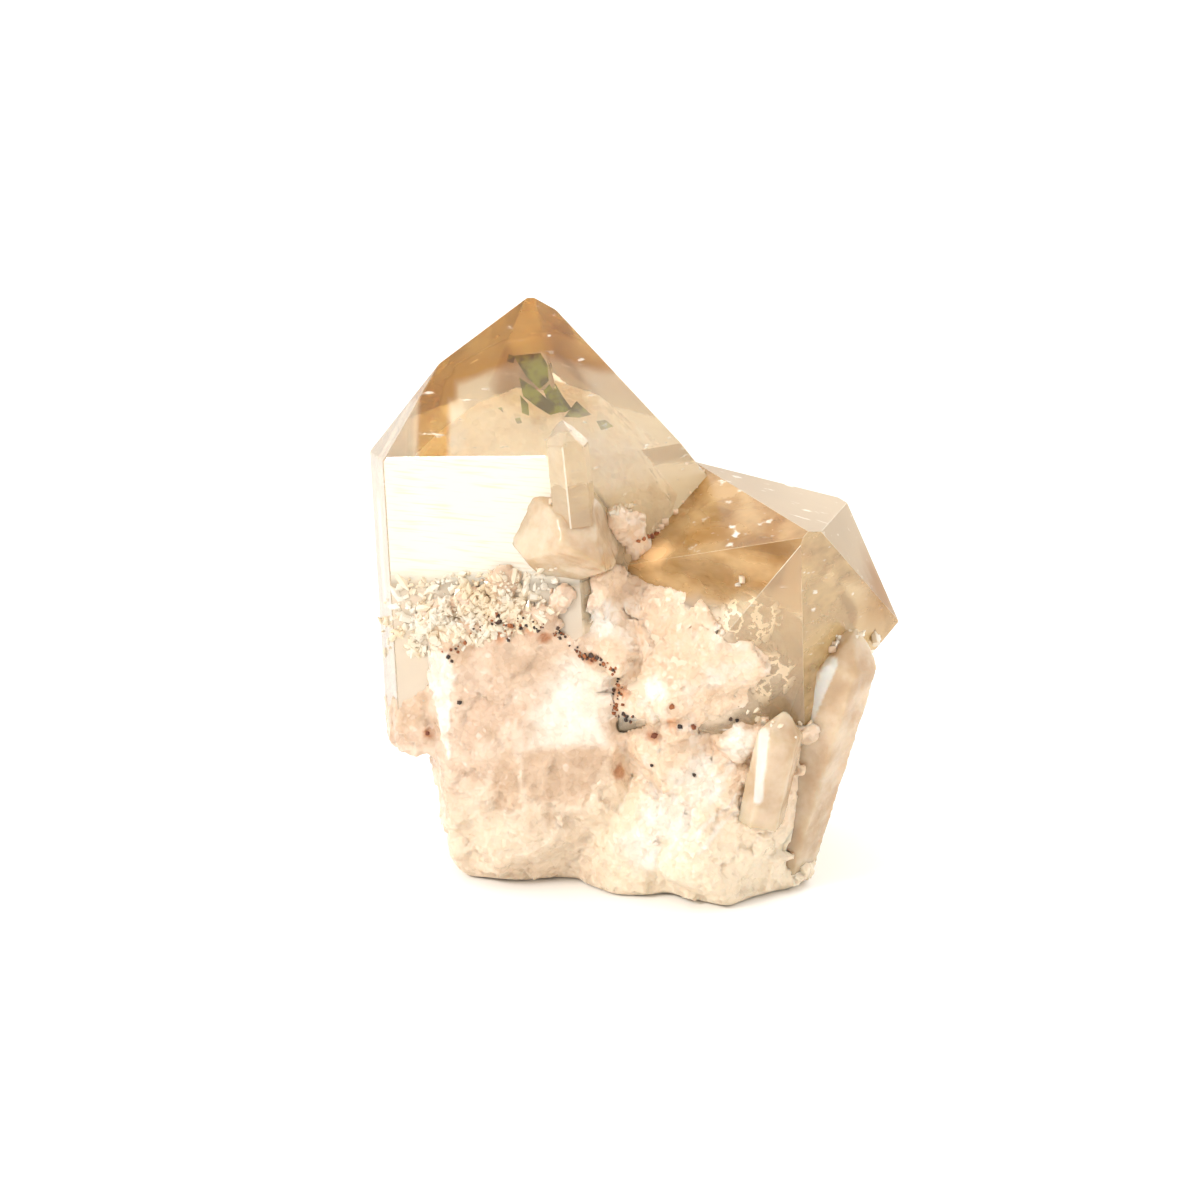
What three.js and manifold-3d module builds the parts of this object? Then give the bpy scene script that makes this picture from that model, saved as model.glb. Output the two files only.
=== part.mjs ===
// A citrine cluster that stands on the flat where it was cut off its rock: two stout quartz crystals, one
// upright and one that leans out to the front right, smaller crystals between and beside them, a druse of
// tiny points, and the milky quartz that they all grew from. It grew as one piece, so it is one solid.
// Millimetres, +Z up, the front towards -Y. The origin is on the flat of the foot.
import * as THREE from "three";
import { ConvexGeometry } from "three/addons/geometries/ConvexGeometry.js";
import { mergeVertices } from "three/addons/utils/BufferGeometryUtils.js";
import Module from "manifold-3d";

const wasm = await Module();
wasm.setup();

const { degToRad } = THREE.MathUtils;
const SAME_POINT = 1e-3;
const PARALLEL = 1e-6;

// Quartz's own angle: from the long axis of a crystal to the normal of a face of its tip.
const TIP_FACE_ANGLE = degToRad(51.8);
const SIDES = 6;

// The crystals. lean is the long axis, turn the direction of the first side face as seen from the tip,
// sides the distance of each side face from the axis, and drops how far below the tip each face of the
// tip would meet the axis: above it for a small face, which its neighbours cut short.
const UPRIGHT = {
  tip: [-9.7, 6.5, 57.3],
  lean: [-0.052, 0.14, 1],
  turn: -107,
  sides: [11.7, 11.9, 16.5, 14, 11.7, 16.9],
  drops: [0, 0.2, -0.6, 1.0, 0, -6.3],
  length: 44.5,
};
const LEANING = {
  tip: [16, -15, 38.1],
  lean: [0.28, -0.723, 0.634],
  turn: 22.5,
  sides: [14.5, 14.6, 15.5, 15.5, 13.8, 12.6],
  drops: [-2.6, -1.4, 0, 0.4, 0, 0],
  length: 33,
};
const PILLAR = {
  tip: [22.2, -8, 27.6],
  lean: [0.27, -0.04, 1],
  turn: 20,
  sides: [2.7, 3, 3.2, 4.1, 3.2, 2.7],
  drops: [0.2, 0.6, 0, 0.5, 0.3, 0.8],
  length: 29,
};
const SPLINTER = {
  tip: [15, -13.4, 20.6],
  lean: [0.2, -0.05, 1],
  turn: -20,
  sides: [2, 2.2, 2.1, 2, 2.3, 2],
  drops: [0, 0.3, 0, 0.2, 0, 0.4],
  length: 12.5,
};
const PERCHED = {
  tip: [-6.7, -8.6, 48.9],
  lean: [-0.1, 0.1, 1],
  turn: -70,
  sides: [2, 1.9, 2.2, 2, 1.8, 2],
  drops: [0, 0.8, 0, 0.6, 0, 0.3],
  length: 11,
};
const NESTLED = {
  tip: [-1.5, -14.6, 33.6],
  lean: [0.5, -0.75, -0.25],
  turn: 30,
  sides: [4.4, 4.4, 4.2, 4.6, 4.1, 4.2],
  drops: [2.4, 1.4, 0.2, 2.6, 2.2, 0.8],
  length: 12,
};
const REAR = {
  tip: [11, 18.5, 31.5],
  lean: [0.3, 0.5, 1],
  turn: 10,
  sides: [4.6, 5.2, 4.4, 5, 4.8, 5.4],
  drops: [0, 1.2, 0, 0.6, 0, 1],
  length: 22,
};
const SHOULDER = {
  tip: [-14.4, 17.6, 41],
  lean: [-0.06, 0.17, 1],
  turn: -104,
  sides: [5, 5.4, 4.6, 4.4, 5.2, 4.8],
  drops: [0, 0.4, 1.4, 0, 1, 0.2],
  length: 33,
};

// Bands of tiny crystals: they stand between from and to, strayed by up to spread, and point along facing.
const DRUSES = [
  { from: [-21.5, -7, 26.5], to: [-10, -9.6, 33], spread: [1, 1, 2.6], count: 30, facing: [-0.2, -0.8, 0.7] },
  { from: [-13, -10, 29], to: [-3, -11, 31], spread: [1.4, 1, 1.6], count: 14, facing: [0, -0.9, 0.5] },
  { from: [-2.5, -8.5, 39.5], to: [0.5, -7, 38], spread: [1, 1, 1], count: 5, facing: [0.2, -0.7, 0.8] },
  { from: [18, -10.5, 25], to: [15.5, -12.5, 14], spread: [1, 1, 1.5], count: 8, facing: [0.1, -0.9, 0.4] },
  { from: [21, -8.6, 26], to: [22.6, -8, 26], spread: [1, 0.8, 0.5], count: 4, facing: [0.2, -0.3, 1] },
  { from: [12, -14.4, 33.5], to: [13.4, -14.6, 27], spread: [1.6, 0.2, 1.2], count: 12, facing: [0, -1, 0] },
  { from: [-8, 18, 25], to: [16, 18, 27], spread: [2, 1.2, 2], count: 10, facing: [0, 0.7, 0.8] },
];
const DRUSE_WIDTH = [0.6, 1.3];
const DRUSE_LENGTH = 5;
// How far a tiny crystal leans off its band's direction, how far it is turned in degrees, how unequal
// its sides are, and how deep and how unequal the faces of its point are, as shares of its width.
const DRUSE_LEAN = 0.5;
const DRUSE_TURN = 60;
const DRUSE_UNEVEN = 0.25;
const DRUSE_POINT = 0.3;
// The share of a tiny crystal that must stand in the rest, or it is left out.
const ROOTED_SHARE = 0.25;

// The milky quartz: broken blocks. half is half their size, lean how far they tip to the right in
// degrees, square how boxy they are (2 is an ellipsoid), facets how many broken faces they have in
// spread directions, flats the broken faces that matter (a direction, and how far from the middle).
const BLOCKS = [
  { at: [0, 2, 3], half: [13, 10, 9], lean: 0, square: 3, facets: 10, seed: 10, flats: [] },
  { at: [-6.5, 0.5, 6], half: [11.5, 11.5, 11], lean: 0, square: 3, facets: 18, seed: 1, flats: [] },
  {
    at: [-9.8, -3, 15],
    half: [10.2, 8.6, 17],
    lean: -6,
    square: 3.6,
    facets: 0,
    seed: 2,
    flats: [
      [[0.66, 0, 0.75], 13],
      [[-0.3, -0.1, 0.95], 14.4],
      [[-0.16, -0.98, 0.04], 7.8],
      [[-0.1, -0.92, -0.38], 9.4],
      [[0.75, -0.66, 0], 10.6],
    ],
  },
  { at: [8.5, -4.5, 6], half: [7.8, 11.6, 13.5], lean: 14, square: 2.8, facets: 22, seed: 3, flats: [] },
  { at: [2, -2.5, 7], half: [7, 10.5, 12], lean: 26, square: 2.6, facets: 20, seed: 4, flats: [] },
  { at: [13.5, -2, 7], half: [4.8, 8.6, 13], lean: 14, square: 2.6, facets: 16, seed: 5, flats: [] },
  {
    at: [-3.6, -4.4, 26],
    half: [7.6, 7.8, 8],
    lean: 24,
    square: 2.8,
    facets: 14,
    seed: 6,
    flats: [
      [[-0.2, -0.95, 0.2], 5.9],
      [[0.3, -0.75, 0.6], 6.2],
    ],
  },
  {
    at: [4.5, -7, 24.5],
    half: [10, 9, 8.8],
    lean: 0,
    square: 2.6,
    facets: 8,
    seed: 9,
    flats: [
      [[-0.524, -0.799, 0.3], 4.6],
      [[0.075, -0.983, -0.176], 6.9],
    ],
  },
  { at: [4.6, -5.6, 14.5], half: [7, 6.2, 8.4], lean: 16, square: 2.8, facets: 12, seed: 14, flats: [] },
  { at: [6, 9, 12], half: [14, 10.4, 16], lean: 4, square: 3, facets: 26, seed: 7, flats: [] },
  { at: [-10.4, 8, 8], half: [10, 9.6, 13], lean: -4, square: 3, facets: 24, seed: 8, flats: [] },
  { at: [-2, 11, 12], half: [12, 7.5, 15], lean: -10, square: 2.6, facets: 24, seed: 11, flats: [] },
];
// The shallow shell-shaped break in the front of the left block.
const DISH = {
  at: [-8.4, -11.3, 17.5],
  half: [8.4, 1.1, 8.8],
  lean: 12,
  square: 2.3,
  facets: 9,
  seed: 12,
  flats: [[[-0.2, 0, -0.98], 6.6]],
};
// How finely a block is meshed, how deep its broken faces cut as shares of its size, and its two sizes
// of bumps.
const BLOCK_DETAIL = 8;
const FACET_DEPTH = [0.74, 0.98];
const BUMP_SIZE = 5;
const BUMP_HEIGHT = 0.4;
const FINE_BUMP_SIZE = 1.8;
const FINE_BUMP_HEIGHT = 0.16;

// The height of the flat that the cluster is cut off at, and the size of the box that cuts it.
const FOOT_TOP = 0;
const TRIM = 200;

function spreadNumber(a, b, c, seed) {
  const mixed = Math.sin(a * 127.1 + b * 311.7 + c * 74.7 + seed * 53.3) * 43758.5453;
  return mixed - Math.floor(mixed);
}

// Smooth noise from -1 to 1, the same on every run.
function noise(point, seed) {
  const cell = point.clone().floor();
  const part = point.clone().sub(cell);
  const ease = (t) => t * t * (3 - 2 * t);
  const [u, v, w] = [ease(part.x), ease(part.y), ease(part.z)];
  let sum = 0;
  for (const i of [0, 1])
    for (const j of [0, 1])
      for (const k of [0, 1]) {
        const weight = (i ? u : 1 - u) * (j ? v : 1 - v) * (k ? w : 1 - w);
        sum += weight * spreadNumber(cell.x + i, cell.y + j, cell.z + k, seed);
      }
  return 2 * sum - 1;
}

function solidOf(geometry) {
  const bare = geometry.clone();
  bare.deleteAttribute("normal");
  bare.deleteAttribute("uv");
  const merged = mergeVertices(bare, SAME_POINT);
  return new wasm.Manifold(
    new wasm.Mesh({
      numProp: 3,
      vertProperties: new Float32Array(merged.attributes.position.array),
      triVerts: new Uint32Array(merged.index.array),
    }),
  );
}

// The convex solid inside a set of planes: its corners are the points where three planes meet and that
// no other plane cuts off.
function solidInside(planes) {
  const corners = [];
  const found = new THREE.Vector3();
  for (let a = 0; a < planes.length; a++)
    for (let b = a + 1; b < planes.length; b++)
      for (let c = b + 1; c < planes.length; c++) {
        const [na, nb, nc] = [planes[a].normal, planes[b].normal, planes[c].normal];
        const bc = nb.clone().cross(nc);
        const volume = na.dot(bc);
        if (Math.abs(volume) < PARALLEL) continue;
        found
          .copy(bc)
          .multiplyScalar(-planes[a].constant)
          .addScaledVector(nc.clone().cross(na), -planes[b].constant)
          .addScaledVector(na.clone().cross(nb), -planes[c].constant)
          .divideScalar(volume);
        const kept = planes.every((plane) => plane.distanceToPoint(found) < SAME_POINT);
        const known = corners.some((corner) => corner.distanceTo(found) < SAME_POINT);
        if (kept && !known) corners.push(found.clone());
      }
  return solidOf(new ConvexGeometry(corners));
}

// A crystal's own axes: z along it towards the tip, x as near to +X as that allows.
function axesOf(lean) {
  const z = new THREE.Vector3(...lean).normalize();
  const x = new THREE.Vector3(1, 0, 0).addScaledVector(z, -z.x).normalize();
  const y = z.clone().cross(x);
  return new THREE.Matrix4().makeBasis(x, y, z);
}

function crystal({ tip, lean, turn, sides, drops, length }) {
  const place = axesOf(lean).setPosition(...tip);
  const planes = [];
  for (let k = 0; k < SIDES; k++) {
    const angle = degToRad(turn + (k * 360) / SIDES);
    const out = new THREE.Vector3(Math.cos(angle), Math.sin(angle), 0);
    planes.push(new THREE.Plane(out.clone(), -sides[k]));
    const normal = out.clone().multiplyScalar(Math.sin(TIP_FACE_ANGLE));
    normal.z = Math.cos(TIP_FACE_ANGLE);
    planes.push(new THREE.Plane(normal, drops[k] * normal.z));
  }
  planes.push(new THREE.Plane(new THREE.Vector3(0, 0, -1), -length));
  for (const plane of planes) plane.applyMatrix4(place);
  return solidInside(planes);
}

function span([low, high], share) {
  return low + (high - low) * share;
}

function block({ at, half, lean, square, facets, seed, flats }) {
  const extent = new THREE.Vector3(...half);
  const cuts = flats.map(([dir, distance]) => [new THREE.Vector3(...dir).normalize(), distance]);
  for (let k = 0; k < facets; k++) {
    const rise = 2 * spreadNumber(k, 1, 0, seed) - 1;
    const round = 2 * Math.PI * spreadNumber(k, 2, 0, seed);
    const level = Math.sqrt(1 - rise * rise);
    const dir = new THREE.Vector3(level * Math.cos(round), level * Math.sin(round), rise);
    const reach = dir.clone().multiply(extent).length();
    cuts.push([dir, reach * span(FACET_DEPTH, spreadNumber(k, 3, 0, seed))]);
  }
  const geometry = new THREE.IcosahedronGeometry(1, BLOCK_DETAIL);
  const spots = geometry.attributes.position;
  const turned = new THREE.Matrix4().makeRotationY(degToRad(lean)).setPosition(...at);
  const spot = new THREE.Vector3();
  for (let i = 0; i < spots.count; i++) {
    spot.fromBufferAttribute(spots, i).normalize();
    const out = spot.clone();
    const sum = Math.abs(spot.x) ** square + Math.abs(spot.y) ** square + Math.abs(spot.z) ** square;
    spot.multiplyScalar(sum ** (-1 / square)).multiply(extent);
    for (const [dir, distance] of cuts) {
      const over = spot.dot(dir) - distance;
      if (over > 0) spot.addScaledVector(dir, -over);
    }
    const coarse = noise(spot.clone().divideScalar(BUMP_SIZE), seed);
    const fine = noise(spot.clone().divideScalar(FINE_BUMP_SIZE), seed + 0.5);
    spot.addScaledVector(out, BUMP_HEIGHT * coarse + FINE_BUMP_HEIGHT * fine);
    spot.applyMatrix4(turned);
    spots.setXYZ(i, spot.x, spot.y, spot.z);
  }
  return solidOf(geometry);
}

// A tiny crystal: it stands at a strayed point of its band, and leans a little off the band's direction.
function druseCrystal({ from, to, spread, facing }, k, count, seed) {
  const stray = (n) => 2 * spreadNumber(k, n, 7, seed) - 1;
  const along = (k + 0.5) / count;
  const tip = from.map((low, i) => low + (to[i] - low) * along + spread[i] * stray(i));
  const width = span(DRUSE_WIDTH, spreadNumber(k, 5, 7, seed));
  return crystal({
    tip,
    lean: facing.map((part, i) => part + DRUSE_LEAN * stray(i + 10)),
    turn: DRUSE_TURN * stray(20),
    sides: Array.from({ length: SIDES }, (_, i) => width * (1 + DRUSE_UNEVEN * stray(i + 30))),
    drops: Array.from({ length: SIDES }, (_, i) => width * DRUSE_POINT * (1 + stray(i + 40))),
    length: DRUSE_LENGTH,
  });
}

let cluster = crystal(UPRIGHT).add(crystal(LEANING));
const SMALLER = [PILLAR, SPLINTER, PERCHED, NESTLED, REAR, SHOULDER];
for (const small of SMALLER) cluster = cluster.add(crystal(small));
for (const lump of BLOCKS) cluster = cluster.add(block(lump));
cluster = cluster.subtract(block(DISH));
// A tiny crystal counts only where it is rooted in what is there already.
for (const [seed, band] of DRUSES.entries())
  for (let k = 0; k < band.count; k++) {
    const tiny = druseCrystal(band, k, band.count, seed);
    if (tiny.intersect(cluster).volume() > ROOTED_SHARE * tiny.volume()) cluster = cluster.add(tiny);
  }

const under = new THREE.BoxGeometry(TRIM, TRIM, TRIM).translate(0, 0, FOOT_TOP - TRIM / 2);
cluster = cluster.subtract(solidOf(under));
// The cuts leave loose crumbs beside the cluster itself.
const pieces = cluster.decompose();
cluster = pieces.reduce((most, piece) => (piece.volume() > most.volume() ? piece : most));

function meshOf(solid, name, material) {
  const made = solid.getMesh();
  const geometry = new THREE.BufferGeometry();
  geometry.setAttribute("position", new THREE.BufferAttribute(new Float32Array(made.vertProperties), 3));
  geometry.setIndex(new THREE.BufferAttribute(new Uint32Array(made.triVerts), 1));
  geometry.computeVertexNormals();
  const mesh = new THREE.Mesh(geometry, material);
  mesh.name = name;
  return mesh;
}

const citrine = new THREE.MeshStandardMaterial({ color: 0xefd3ab, roughness: 0.15, metalness: 0 });
const specimen = new THREE.Group();
specimen.add(meshOf(cluster, "citrine_cluster", citrine));

export default specimen;
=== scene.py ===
import math
import random

import bmesh
import bpy
from mathutils import Matrix, Vector, noise
from mathutils.bvhtree import BVHTree


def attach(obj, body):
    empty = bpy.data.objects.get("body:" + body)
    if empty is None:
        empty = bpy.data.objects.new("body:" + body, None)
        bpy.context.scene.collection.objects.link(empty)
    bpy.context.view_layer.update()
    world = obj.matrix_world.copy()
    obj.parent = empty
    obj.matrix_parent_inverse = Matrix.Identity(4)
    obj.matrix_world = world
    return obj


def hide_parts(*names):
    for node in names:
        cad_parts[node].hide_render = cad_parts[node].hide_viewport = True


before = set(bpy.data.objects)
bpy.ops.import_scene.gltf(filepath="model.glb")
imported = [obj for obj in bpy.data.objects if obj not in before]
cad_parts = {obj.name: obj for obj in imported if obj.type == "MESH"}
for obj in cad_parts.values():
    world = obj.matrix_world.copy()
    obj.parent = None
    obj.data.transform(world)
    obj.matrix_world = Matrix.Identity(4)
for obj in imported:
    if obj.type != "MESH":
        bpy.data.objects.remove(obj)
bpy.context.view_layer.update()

# The clear crystals: quartz, coloured gold by a trace of iron, that grew as six-sided prisms with a
# six-faced point. All of them grew into each other, so they are one piece of clear quartz.
MM = 0.001
TIP_FACE_ANGLE = math.radians(51.8)
# Each crystal's tip, the way it leans, the turn of its first side, how far its six sides lie from its
# axis, how far its six tip faces are dropped, and its length, all in millimetres and degrees.
CRYSTALS = {
    "upright": dict(tip=(-9.7, 6.5, 57.3), lean=(-0.052, 0.14, 1), turn=-107,
                    sides=(11.7, 11.9, 16.5, 14, 11.7, 16.9), drops=(0, 0.2, -0.6, 1, 0, -6.3), length=44.5),
    "leaning": dict(tip=(16, -15, 38.1), lean=(0.28, -0.723, 0.634), turn=22.5,
                    sides=(14.5, 14.6, 15.5, 15.5, 13.8, 12.6), drops=(-2.6, -1.4, 0, 0.4, 0, 0), length=33),
    "perched": dict(tip=(-6.7, -8.6, 48.9), lean=(-0.1, 0.1, 1), turn=-70,
                    sides=(2, 1.9, 2.2, 2, 1.8, 2), drops=(0, 0.8, 0, 0.6, 0, 0.3), length=11),
    "rear": dict(tip=(11, 18.5, 31.5), lean=(0.3, 0.5, 1), turn=10,
                 sides=(4.6, 5.2, 4.4, 5, 4.8, 5.4), drops=(0, 1.2, 0, 0.6, 0, 1), length=22),
    "shoulder": dict(tip=(-14.4, 17.6, 41), lean=(-0.06, 0.17, 1), turn=-104,
                     sides=(5, 5.4, 4.6, 4.4, 5.2, 4.8), drops=(0, 0.4, 1.4, 0, 1, 0.2), length=33),
}


def growth_axes(lean):
    along = Vector(lean).normalized()
    across = (Vector((1, 0, 0)) - along * along.x).normalized()
    return Matrix((across, along.cross(across), along)).transposed()


def crystal_faces(tip, lean, turn, sides, drops, length, grown=0.0):
    """Each face of a crystal as a point on it and its outward normal, in metres; grown moves them out."""
    axes = growth_axes(lean)
    top = Vector(tip) * MM
    for k, (side, drop) in enumerate(zip(sides, drops)):
        angle = math.radians(turn + 60 * k)
        out = axes @ Vector((math.cos(angle), math.sin(angle), 0))
        along = axes.col[2]
        yield top + out * (side * MM + grown), out
        slope = out * math.sin(TIP_FACE_ANGLE) + along * math.cos(TIP_FACE_ANGLE)
        yield top - along * drop * MM + slope * grown, slope
    yield top - axes.col[2] * (length * MM + grown), -axes.col[2]


def cut_crystal(crystal, edge, grown=0.0, more=()):
    """A big block of quartz, cut down face by face; edge is how much of each sharp edge is worn off."""
    bm = bmesh.new()
    bmesh.ops.create_cube(bm, size=300 * MM, matrix=Matrix.Translation(Vector(crystal["tip"]) * MM))
    for point, normal in [*crystal_faces(**crystal, grown=grown), *more]:
        parts = bm.verts[:] + bm.edges[:] + bm.faces[:]
        cut = bmesh.ops.bisect_plane(bm, geom=parts, dist=1e-7, plane_co=point, plane_no=normal,
                                     clear_outer=True)
        rim = [e for e in cut["geom_cut"] if isinstance(e, bmesh.types.BMEdge)]
        if rim:
            bmesh.ops.contextual_create(bm, geom=rim)
    bmesh.ops.remove_doubles(bm, verts=bm.verts, dist=2e-5)
    bmesh.ops.recalc_face_normals(bm, faces=bm.faces)
    if edge:
        bmesh.ops.bevel(bm, geom=bm.edges[:], offset=edge, offset_type="OFFSET", affect="EDGES", segments=1,
                        profile=0.5, material=-1, clamp_overlap=True)
    return new_piece("crystal", bm)


def new_piece(name, bm):
    mesh = bpy.data.meshes.new(name)
    bm.to_mesh(mesh)
    bm.free()
    piece = bpy.data.objects.new(name, mesh)
    bpy.context.scene.collection.objects.link(piece)
    return piece


def settle(piece):
    """Makes the piece's modifiers part of its mesh."""
    ready = piece.evaluated_get(bpy.context.evaluated_depsgraph_get())
    mesh = bpy.data.meshes.new_from_object(ready)
    piece.modifiers.clear()
    piece.data = mesh


def fuse_or_cut(piece, other, operation):
    step = piece.modifiers.new("step", "BOOLEAN")
    step.operation = operation
    step.solver = "MANIFOLD"
    step.object = other
    settle(piece)
    bpy.data.objects.remove(other)


def finished(piece):
    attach(piece, "root")
    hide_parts("citrine_cluster")


def wavy_block(origin, slope_x, slope_y, wave):
    """Everything above a bumpy, sloping floor, as the clear quartz lies on the milky."""
    bm = bmesh.new()
    bmesh.ops.create_grid(bm, x_segments=70, y_segments=70, size=45 * MM)
    x, y, z = (a * MM for a in origin)
    for v in bm.verts:
        bump = noise.noise(v.co / (6 * MM)) + 0.5 * noise.noise(v.co / (2.5 * MM))
        v.co.z = z + slope_x * (v.co.x - x) + slope_y * (v.co.y - y)
        v.co.z += wave * bump
    walls = bmesh.ops.extrude_face_region(bm, geom=bm.faces[:])
    for v in (g for g in walls["geom"] if isinstance(g, bmesh.types.BMVert)):
        v.co.z = 90 * MM
    bmesh.ops.recalc_face_normals(bm, faces=bm.faces)
    return new_piece("block", bm)


# Where each crystal's clear quartz ends on the milky: a point of that floor, its slopes and its waves.
CLEAR_FLOORS = {
    "upright": ((-8, -8, 26), 0.45, -0.15, 1.0),
    "leaning": ((8, -8, 10), 0, 0, 0.5),
    "perched": ((0, 0, 30), 0, 0, 0.6),
    "shoulder": ((0, 0, 22), 0, 0, 0.6),
    "rear": ((0, 0, 24), 0, 0, 0.6),
}


def clear_part(name, edge, grown=0.0, deeper=0.0):
    """The part of a crystal above its floor, or above a floor that lies deeper."""
    (x, y, z), slope_x, slope_y, wave = CLEAR_FLOORS[name]
    crystal = cut_crystal(CRYSTALS[name], edge, grown)
    crystal.name = name
    fuse_or_cut(crystal, wavy_block((x, y, z - deeper), slope_x, slope_y, wave * MM), "INTERSECT")
    return crystal


clear = clear_part("upright", 0.12 * MM, deeper=1.2)
clear.name = "clear_quartz"
for name, edge in (("leaning", 0.03), ("perched", 0.1), ("rear", 0.1), ("shoulder", 0.1)):
    fuse_or_cut(clear, clear_part(name, edge * MM, deeper=1.2), "UNION")


# Quartz is glass-clear, refractive index 1.544. The gold lies in the points of the crystals, the shafts
# are nearly colourless, and the front side face of the upright crystal is painted white, a painted
# reflection of the bright surround.
def colour(text):
    parts = [int(text[i:i + 2], 16) / 255 for i in (1, 3, 5)]
    return [c / 12.92 if c <= 0.04045 else ((c + 0.055) / 1.055) ** 2.4 for c in parts] + [1]


def add(tree, kind, inputs=None, **settings):
    """Adds a node; an input given as a node or a socket is linked, and any other is set."""
    made = tree.nodes.new(kind)
    for key, value in settings.items():
        setattr(made, key, value)
    for key, value in (inputs or {}).items():
        if isinstance(value, bpy.types.Node):
            value = next(socket for socket in value.outputs if socket.enabled)
        if isinstance(value, bpy.types.NodeSocket):
            tree.links.new(value, made.inputs[key])
        else:
            made.inputs[key].default_value = value
    return made


def new_material(name):
    """A material without nodes yet, and the place on the stone that its patterns are read from."""
    material = bpy.data.materials.new(name)
    material.use_nodes = True
    tree = material.node_tree
    tree.nodes.clear()
    return material, tree, add(tree, "ShaderNodeTexCoord").outputs["Object"]


def zone(tree, *limits):
    """1 in a zone, 0 outside. A limit is a measure, its value where the zone starts and where it is full."""
    share = 1.0
    for measure, start, full in limits:
        edge = add(tree, "ShaderNodeMapRange", {"Value": measure, "From Min": start, "From Max": full},
                   interpolation_type="SMOOTHSTEP")
        share = add(tree, "ShaderNodeMath", {0: share, 1: edge}, operation="MULTIPLY")
    return share


def two_toned(tree, pattern, start, full, first, second):
    """The first colour where the pattern is low, the second where it is high."""
    share = zone(tree, (pattern, start, full))
    return add(tree, "ShaderNodeMix", {0: share, 6: colour(first), 7: colour(second)}, data_type="RGBA")


def on_face(tree, direction):
    """The limit of a zone that covers only the faces that look along direction."""
    normal = add(tree, "ShaderNodeNewGeometry").outputs["True Normal"]
    way = Vector(direction).normalized()
    return add(tree, "ShaderNodeVectorMath", {0: normal, 1: way}, operation="DOT_PRODUCT"), 0.985, 0.995


def depth_along(tree, place, point, direction):
    """How far the place is along direction from point, in millimetres."""
    way = Vector(direction).normalized() / MM
    dot = add(tree, "ShaderNodeVectorMath", {0: place, 1: way}, operation="DOT_PRODUCT")
    return add(tree, "ShaderNodeMath", {0: dot, 1: Vector(point).dot(way)}, operation="SUBTRACT")


def near_spot(tree, place, centre, half, full, start):
    """1 well inside an ellipsoid, 0 outside, with a frayed outline."""
    fray = 0.9
    away = add(tree, "ShaderNodeVectorMath", {0: place, 1: Vector(centre) * MM}, operation="SUBTRACT")
    away = add(tree, "ShaderNodeVectorMath", {0: away, 1: Vector(half) * MM}, operation="DIVIDE")
    away = add(tree, "ShaderNodeVectorMath", {0: away}, operation="LENGTH")
    ragged = add(tree, "ShaderNodeTexNoise", {"Vector": place, "Scale": 1 / (3.85 * MM), "Detail": 4})
    away = add(tree, "ShaderNodeMath", {0: ragged, 1: fray, 2: away}, operation="MULTIPLY_ADD")
    return zone(tree, (away, start + fray / 2, full + fray / 2))


def drawn_out(tree, place, sizes, grain, detail):
    """A noise whose spots are stretched to these sizes in millimetres, as growth lines and veils are."""
    per_spot = [1 / (size * MM) for size in sizes]
    stretched = add(tree, "ShaderNodeVectorMath", {0: place, 1: per_spot}, operation="MULTIPLY")
    return add(tree, "ShaderNodeTexNoise", {"Vector": stretched, "Scale": grain, "Detail": detail})


QUARTZ_IOR = 1.544
quartz, tree, place = new_material("clear_golden_quartz")
upright_faces = list(crystal_faces(**CRYSTALS["upright"]))
upright_front = upright_faces[0][1]
leaning_tip = [normal for _, normal in list(crystal_faces(**CRYSTALS["leaning"]))[1::2]]
height = depth_along(tree, place, upright_faces[0][0], growth_axes(CRYSTALS["upright"]["lean"]).col[2])
patchy = add(tree, "ShaderNodeTexNoise", {"Vector": place, "Scale": 1 / (9.1 * MM), "Detail": 3})
at = add(tree, "ShaderNodeSeparateXYZ", {0: place})
right_left, low_high = at.outputs["X"], at.outputs["Z"]

# The gold of the upright crystal's point reaches lower at both sides, and runs down its left edge.
aside = add(tree, "ShaderNodeMath", {0: right_left, 1: 9 * MM}, operation="ADD")
aside = add(tree, "ShaderNodeMath", {0: aside}, operation="ABSOLUTE")
top_height = add(tree, "ShaderNodeMath", {0: aside, 1: 0.29 / MM, 2: height}, operation="MULTIPLY_ADD")
top_height = add(tree, "ShaderNodeMath", {0: patchy, 1: 3.0, 2: top_height}, operation="MULTIPLY_ADD")
gold = zone(tree, (top_height, -5.2, -4.0))
for limits in (
    [(right_left, -16.8 * MM, -17.8 * MM), (height, -10.5, -9.3)],
    [(right_left, -17.6 * MM, -18.4 * MM), (right_left, -21.4 * MM, -20.7 * MM), (height, -20.0, -16.0)],
):
    gold = add(tree, "ShaderNodeMath", {0: gold, 1: zone(tree, *limits)}, operation="MAXIMUM")

# The other zones: the front side face, painted white as a painted reflection, with a fainter painted
# reflection below it; the leaning crystal's tip faces, its gold brow, brown far corner, milky heart, orange
# stain and the clear window on the flakes.
veils = zone(tree, (drawn_out(tree, place, (3.85, 1.67, 0.667), 1, 5), 0.63, 0.73))
mottled = drawn_out(tree, place, (7.7, 5.9, 3.125), 1.3, 6)
billows = zone(tree, (drawn_out(tree, place, (7.7, 5.9, 3.125), 1, 5), 0.42, 0.66))
lines = drawn_out(tree, place, (4, 4, 0.238), 1, 3)
# Painted reflection: the front side face is painted near white where it mirrors the bright surround, and paler
# below.
painted_front_reflection = zone(tree, on_face(tree, upright_front), (height, -29.0, -25.5))
painted_lower_reflection = zone(tree, on_face(tree, upright_front), (height, -25.5, -29.0))
tip_face = [zone(tree, on_face(tree, normal)) for normal in leaning_tip]
brow_height = add(tree, "ShaderNodeMath", {0: patchy, 1: 8 * MM, 2: low_high}, operation="MULTIPLY_ADD")
brow = zone(tree, on_face(tree, leaning_tip[3]), (brow_height, 34.5 * MM, 36.5 * MM))
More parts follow.
